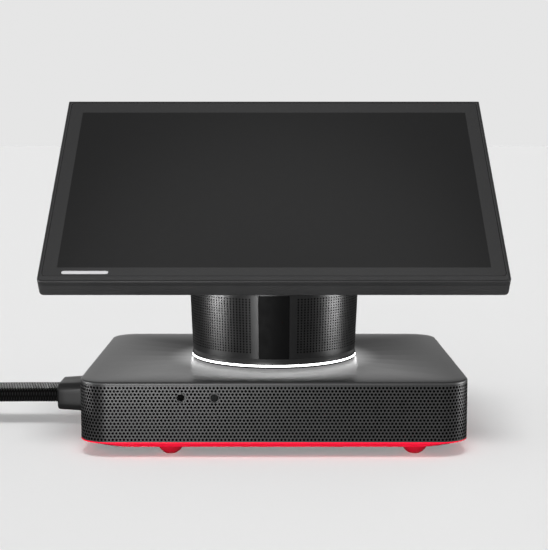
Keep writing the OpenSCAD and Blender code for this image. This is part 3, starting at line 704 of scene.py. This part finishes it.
def eyelets():
    """Thin rings that line the round openings in the base's wall."""
    deep, soft = 1.1, 0.06
    for name, (side, x, z, r) in zip(("jack_eyelet", "sensor_eyelet", "button_eyelet"), ROUND_HOLES):
        wide = r + 0.45
        profile = ((r, deep), (r, soft), (r + soft, 0.0), (wide - soft, 0.0), (wide, soft), (wide, deep))
        loops = []
        for ring_r, depth in profile:
            y = side * (BASE_D / 2 - depth)
            loops.append([(x - side * ring_r * math.cos(a), y, z + ring_r * math.sin(a))
                          for a in turn_angles(ROUND)])
        points, faces = loft(loops, closed=True)
        obj = piece(name, points, faces, "base")
        obj.data.materials.append(WALL)


GRILLE_COLUMNS, GRILLE_ROWS = 70, 24
GRILLE_HOLE_R = 0.47
GRILLE_MEAN_R = 45.7


def column_grilles():
    """The column's two perforated half shells, with plain margins of one or two cells."""
    turn = (180 - 2 * STRIP_ANGLE) / GRILLE_COLUMNS
    rise = (CAP_LOW - GRILLE_FOOT) / GRILLE_ROWS
    pitch = (math.radians(turn) * GRILLE_MEAN_R, rise)

    def solid(i, j):
        return i < 2 or i >= GRILLE_COLUMNS - 2 or j < 2 or j >= GRILLE_ROWS - 1

    for name, start, stands in (("grille_right", STRIP_ANGLE - 90, "right_grille"),
                                ("grille_left", STRIP_ANGLE + 90, "left_grille")):
        def place(u, v, depth, start=start):
            a = math.radians(start + u * turn)
            z = GRILLE_FOOT + v * rise
            r = column_radius(z) - depth
            return (r * math.cos(a), r * math.sin(a), z)
        points, faces, inside = perforated(GRILLE_COLUMNS, GRILLE_ROWS, place, GRILLE_HOLE_R, pitch,
                                           SHEET_T, solid=solid)
        obj = piece(name, points, faces, "column", (stands,))
        paint_sheet(obj, COLUMN_WALL, inside)


base_walls()
wall_felt_and_shade()
wall_margins()
eyelets()
column_grilles()


# ---- Base shells ----

def top_plate():
    """The base's top: a plate with a rim that drops inside the wall, and a round opening. The upright
    faces of its outer edge take a lighter copy of the satin, a painted highlight.
    """
    outer = wall_ring(0.0, 0.0)
    rim_low = 33.7
    loops = [circle_like(outer, OPENING_R, BAND_LOW)]
    seat = ((3.0, BAND_LOW), (2.7, BAND_LOW - 0.1), (2.7, rim_low), (1.4, rim_low),
            (1.35, BAND_LOW), (0.2, BAND_LOW), (0.0, BAND_LOW + 0.2))
    loops += [wall_ring(inset, z) for inset, z in seat]
    soft = 0.9
    for k in range(7):
        a = math.radians(15 * k)
        loops.append(wall_ring(soft * (1 - math.cos(a)), BASE_TOP - soft + soft * math.sin(a)))
    loops.append(wall_ring(6.0, BASE_TOP))
    loops.append(circle_like(outer, OPENING_R + 0.8, BASE_TOP))
    loops.append(circle_like(outer, OPENING_R, BASE_TOP - 0.5))
    points, faces = loft(loops, closed=True)
    obj = piece("top_plate", points, faces, "base", ("base_top_cover",))
    obj.data.materials.append(TOP)
    obj.data.materials.append(RIM_HIGHLIGHT)
    # painted highlight on the upright faces of the outer edge
    for polygon in obj.data.polygons:
        x, y, _ = polygon.center / MM
        if abs(polygon.normal.z) < 0.5 and max(abs(x) * 2 / BASE_W, abs(y) * 2 / BASE_D) > 0.85:
            polygon.material_index = 1


top_plate()


# ---- Column trims ----

def column_trims():
    """The lit ring at the column's foot, and the glossy collar over it."""
    low, high, out, within = 39.4, 40.05, 45.3, 40.8
    points, faces = lathe([(within, low), (out - 0.4, low), (out - 0.1, low + 0.15), (out, low + 0.3),
                           (out, high - 0.25), (out - 0.1, high - 0.1), (out - 0.3, high), (within, high)])
    ring = piece("ring_diffuser", points, faces, "column", ("light_ring",))
    ring.data.materials.append(RING)
    low, high, out, within = 40.4, GRILLE_FOOT, 45.2, 43.4
    points, faces = lathe([(within, low), (out - 0.15, low), (out, low + 0.15), (out, low + 1.0),
                           (out - 0.15, low + 1.7), (out - 0.45, high - 0.1), (out - 0.8, high),
                           (within, high)])
    collar = piece("collar", points, faces, "column", ("column_collar",))
    collar.data.materials.append(COLLAR)


column_trims()


# ---- Display ----

FACE_STEPS = (8, 5)  # steps round each corner and along each side of the display's outlines
SPLIT = -3.0  # where the back shell meets the frame, out from the display's face
FLUSH = -0.06  # how deep the glass lies under the frame's lip


def display_loop(w, h, r, out, low):
    """A rounded rectangle in the display's frame, out from its face, with its lower edge at low."""
    return rounded_loop(w, h, r, out, (0.0, low + h / 2))


def face_loop(inset, out):
    """The display's outline drawn in by a margin, anticlockwise, with rounder lower corners."""
    corner, side = FACE_STEPS
    half_w = DISPLAY_W / 2 - inset
    low_v, high_v = inset, DISPLAY_H - inset
    points = []
    for k, (sx, sy) in enumerate(((1, 1), (-1, 1), (-1, -1), (1, -1))):
        r = max(0.3, (FACE_HIGH_R if sy > 0 else FACE_LOW_R) - inset)
        cx, cy = sx * (half_w - r), (high_v - r if sy > 0 else low_v + r)
        for i in range(corner + 1):
            a = math.radians(90 * k + 90 * i / corner)
            points.append((cx + r * math.cos(a), cy + r * math.sin(a), out))
    spaced = []
    for n, point in enumerate(points):
        spaced.append(point)
        if n % (corner + 1) == corner:
            after = points[(n + 1) % len(points)]
            for i in range(1, side):
                t = i / side
                spaced.append(tuple(p * (1 - t) + q * t for p, q in zip(point, after)))
    return spaced


def glass_loop(margin, out, r=2.2):
    """The outline of the recess for the glass, drawn in by a margin, with as many points as face_loop."""
    w = DISPLAY_W - 2 * GLASS_SIDE - 2 * margin
    h = DISPLAY_H - GLASS_LOW - GLASS_HIGH - 2 * margin
    return rounded_loop(w, h, r, out, (0.0, GLASS_LOW + margin + h / 2), *FACE_STEPS)


def back_shell():
    """The display's back: a closed shell 2 mm thick with a soft outer edge."""
    soft = 0.6
    loops = [face_loop(1.8, SPLIT), face_loop(0.0, SPLIT)]
    for k in range(4):
        a = math.radians(30 * k)
        loops.append(face_loop(soft * (1 - math.cos(a)), -DISPLAY_T + soft - soft * math.sin(a)))
    loops.reverse()
    loops += [face_loop(1.8, SPLIT), face_loop(2.0, -DISPLAY_T + 2.0)]
    points, faces = loft(loops)
    obj = piece("back_shell", to_world(points), faces, "display", ("display_back_cover",))
    obj.data.materials.append(BACK)


def front_frame():
    """The frame round the glass: soft outer edge, narrow groove, and flat lip beside the glass."""
    soft, seat = 0.45, -1.2
    loops = [face_loop(0.0, SPLIT)]
    for k in range(4):
        a = math.radians(30 * k)
        loops.append(face_loop(soft * (1 - math.cos(a)), -soft + soft * math.sin(a)))
    loops += [face_loop(0.8, 0.0), face_loop(0.85, -0.6), face_loop(1.25, -0.6), face_loop(1.3, 0.0),
              glass_loop(-0.05, 0.0), glass_loop(0.0, -0.15), glass_loop(0.0, seat),
              glass_loop(3.0, seat, 1.0), glass_loop(3.0, SPLIT, 1.0)]
    points, faces = loft(loops, closed=True)
    obj = piece("front_frame", to_world(points), faces, "display", ("display_frame",))
    obj.data.materials.append(FRAME)


def front_glass():
    """The cover glass: a slab with a ground edge, a printed border, and the screen as its last face."""
    gap = 0.15
    w = DISPLAY_W - 2 * (GLASS_SIDE + gap)
    h = DISPLAY_H - GLASS_LOW - GLASS_HIGH - 2 * gap
    edge = ((0.0, 2.1, -1.15), (0.0, 2.1, -0.3), (0.1, 2.0, -0.12), (0.25, 1.9, FLUSH))
    loops = [display_loop(w - 2 * inset, h - 2 * inset, r, out, GLASS_LOW + gap + inset)
             for inset, r, out in edge]
    loops.append(display_loop(ACTIVE_W, ACTIVE_H, 0.4, FLUSH, ACTIVE_LOW))
    points, faces = loft(loops)
    obj = piece("front_glass", to_world(points), faces, "display", ("cover_glass",), 12)
    obj.data.materials.append(BORDER)
    obj.data.materials.append(SCREEN)
    obj.data.polygons[len(faces) - 1].material_index = 1


def bezel_mark():
    """A plain light bar printed on the glass."""
    long, high, left, low = 24.0, 2.2, -109.0, 5.6
    middle = (left + long / 2, low + high / 2)
    loops = [rounded_loop(long, high, 1.0, out, middle, 4, 2) for out in (FLUSH, FLUSH + 0.03)]
    points, faces = loft(loops)
    obj = piece("bezel_mark", to_world(points), faces, "display")
    obj.data.materials.append(MARK)


back_shell()
front_frame()
front_glass()
bezel_mark()


# ---- CAD nodes that keep their shape: materials and softened edges ----

NODE_LOOKS = {
    "base_chassis": CHASSIS, "bottom_cover": RED, "cable_hatch": RED, "feet": RED_RUBBER,
    "main_board": BOARD, "front_board": BOARD, "switch_board": BOARD, "microphone_boards": BOARD,
    "memory_modules": CARD, "ssd_module": CARD, "wireless_card": CARD, "heat_sink": FINS,
    "fan_housing": FAN, "fan_rotor": FAN, "headset_jack": JACK, "presence_sensor": JACK,
    "sensor_window": SMOKED, "power_button": BUTTON, "chassis_screws": SCREW, "swivel_plate": STEEL,
    "plate_screws": SCREW, "swivel_bearing": ACETAL, "swivel_hub": HUB, "swivel_retainer": STEEL,
    "column_floor": FLOOR_DISC, "led_board": LAMP_BOARD, "column_frame": LINER_AND_SHADE, "front_strip": STRIP,
    "rear_strip": STRIP, "column_cap": CAP, "left_speaker_basket": SPEAKER,
    "right_speaker_basket": SPEAKER, "left_speaker_cone": CONE, "right_speaker_cone": CONE,
    "neck": NECK, "neck_screws": SCREW, "friction_washers": BRONZE, "display_harness": WIRE,
    "hinge_bracket": NECK, "hinge_pin": PIN, "bracket_screws": SCREW, "lcd_panel": PANEL,
    "backlight_unit": REFLECTOR, "display_board": BOARD, "cable_connector": RELIEF,
    "connector_plugs": SHELLS,
}
SOFT_EDGES = {  # radius of the softened edges
    "column_cap": 0.5, "neck": 0.6, "hinge_bracket": 0.5, "cable_connector": 0.8, "cable_hatch": 0.3,
    "connector_plugs": 0.4, "hinge_pin": 0.4, "bracket_screws": 0.15, "power_button": 0.3,
}


def dress(name, mat, soft):
    """Gives a CAD node its material and, with a bevel modifier, its softened edges."""
    obj = nodes[name]
    obj.data.materials.clear()
    obj.data.materials.append(mat)
    if soft:
        bevel = obj.modifiers.new("soft_edges", "BEVEL")
        bevel.width = soft * MM
        bevel.segments = 3
        bevel.limit_method = "ANGLE"
        bevel.angle_limit = math.radians(35)


for node_name, node_mat in NODE_LOOKS.items():
    dress(node_name, node_mat, SOFT_EDGES.get(node_name))


# ---- Studio ----

PALE = 0.79  # radiance of the background, the photograph's light grey
FLOOR_ALBEDO = 0.8
FLOOR_REACH = 30000


def studio_floor():
    """A plain pale floor, left out of reflections so that the black parts stay black."""
    far = FLOOR_REACH
    corners = [(-far, -far, 0), (far, -far, 0), (far, far, 0), (-far, far, 0)]
    floor = mesh_object("studio_floor", corners, [(0, 1, 2, 3)])
    floor.visible_glossy = False
    mat, _, shader = tree_of("studio_floor")
    shader.inputs["Base Color"].default_value = (FLOOR_ALBEDO, FLOOR_ALBEDO, FLOOR_ALBEDO, 1)
    shader.inputs["Roughness"].default_value = 1.0
    shader.inputs["Specular IOR Level"].default_value = 0.0
    floor.data.materials.append(mat)


SKY = (  # height in the world, from 0 straight down to 1 straight up, and radiance there
    (0.0, 0.04), (0.47, 0.04), (0.485, PALE), (0.5625, PALE), (0.585, 0.42), (0.65, 0.24), (0.97, 0.22),
    (0.988, 0.34), (0.9935, 0.62), (0.996, 0.68), (1.0, 0.62),
)
LEFT_SHARE, RIGHT_SHARE = 1.35, 0.6  # of the radiance, on the left and the right of the camera's axis


def studio_world():
    """Pale near the horizon, where the camera sees it, and dimmer above, so that gloss stays dark."""
    world = bpy.data.worlds.new("studio")
    bpy.context.scene.world = world
    world.use_nodes = True
    tree = world.node_tree
    background = tree.nodes["Background"]
    background.inputs["Color"].default_value = (1, 1, 1, 1)
    split = add(tree, "ShaderNodeSeparateXYZ")
    tree.links.new(add(tree, "ShaderNodeTexCoord").outputs["Generated"], split.inputs["Vector"])
    height = add(tree, "ShaderNodeMath", operation="MULTIPLY_ADD")
    height.inputs[1].default_value = 0.5
    height.inputs[2].default_value = 0.5
    tree.links.new(split.outputs["Z"], height.inputs[0])
    ramp = add(tree, "ShaderNodeValToRGB")
    ramp.color_ramp.elements[0].position = SKY[0][0]
    ramp.color_ramp.elements[1].position = SKY[-1][0]
    for position, _ in SKY[1:-1]:
        ramp.color_ramp.elements.new(position)
    for element, (_, value) in zip(ramp.color_ramp.elements, SKY):
        element.color = (value, value, value, 1)
    tree.links.new(height.outputs["Value"], ramp.inputs["Fac"])
    side = map_range(tree, split.outputs["X"], (-0.16, 0.16), (LEFT_SHARE, RIGHT_SHARE))
    above = map_range(tree, split.outputs["Z"], (0.12, 0.16), (0.0, 1.0))
    below = map_range(tree, split.outputs["Z"], (0.92, 0.8), (0.0, 1.0))
    between = add(tree, "ShaderNodeMath", operation="MULTIPLY")
    tree.links.new(above, between.inputs[0])
    tree.links.new(below, between.inputs[1])
    share = add(tree, "ShaderNodeMix", data_type="FLOAT")
    share.inputs[2].default_value = 1.0
    tree.links.new(between.outputs["Value"], share.inputs[0])
    tree.links.new(side, share.inputs[3])
    product = add(tree, "ShaderNodeMath", operation="MULTIPLY")
    tree.links.new(ramp.outputs["Color"], product.inputs[0])
    tree.links.new(share.outputs[0], product.inputs[1])
    tree.links.new(product.outputs["Value"], background.inputs["Strength"])


SUNS = (  # azimuth from the camera's side to the right, elevation, irradiance, angle, shadow
    ("top_light", 0, 80, 1.22, 24, True), ("front_light", -14, 14, 3.3, 30, False),
    ("back_light", 150, 10, 2.0, 30, False),
)
LOW_BARS = (  # azimuth, distance in metres, power in watts
    ("side_bar_left", -78, 0.42, 1.1), ("side_bar_right", 84, 0.42, 0.62), ("front_bar", -14, 0.5, 1.0),
)
BAR_SIZE, BAR_DROP, BAR_Z, AIM_Z = (0.16, 0.034), 3.0, 0.04, 0.05  # in metres, the drop in degrees


def soft_sun(name, azimuth, elevation, irradiance, angle, shadow):
    """A wide, soft sun that lights without a glint."""
    data = bpy.data.lights.new(name, "SUN")
    data.energy = irradiance
    data.angle = math.radians(angle)
    data.use_shadow = shadow
    obj = link(bpy.data.objects.new(name, data))
    obj.rotation_euler = (math.radians(90 - elevation), 0, math.radians(azimuth))
    obj.visible_glossy = False


def low_bar(name, azimuth, distance, power):
    """A soft box near the floor that gives the upright faces a glint and lights nothing else."""
    data = bpy.data.lights.new(name, "AREA")
    data.shape = "RECTANGLE"
    data.size, data.size_y = BAR_SIZE
    data.energy = power
    obj = link(bpy.data.objects.new(name, data))
    a, e = math.radians(azimuth), math.radians(BAR_DROP)
    place = Vector((math.sin(a) * math.cos(e), -math.cos(a) * math.cos(e), -math.sin(e))) * distance
    place += Vector((0, 0, BAR_Z))
    obj.location = place
    obj.rotation_euler = (Vector((0, 0, AIM_Z)) - place).to_track_quat("-Z", "Y").to_euler()
    obj.visible_camera = False
    obj.visible_diffuse = False


studio_floor()
studio_world()
for sun in SUNS:
    soft_sun(*sun)
for bar in LOW_BARS:
    low_bar(*bar)
bpy.context.scene.view_settings.view_transform = "Standard"
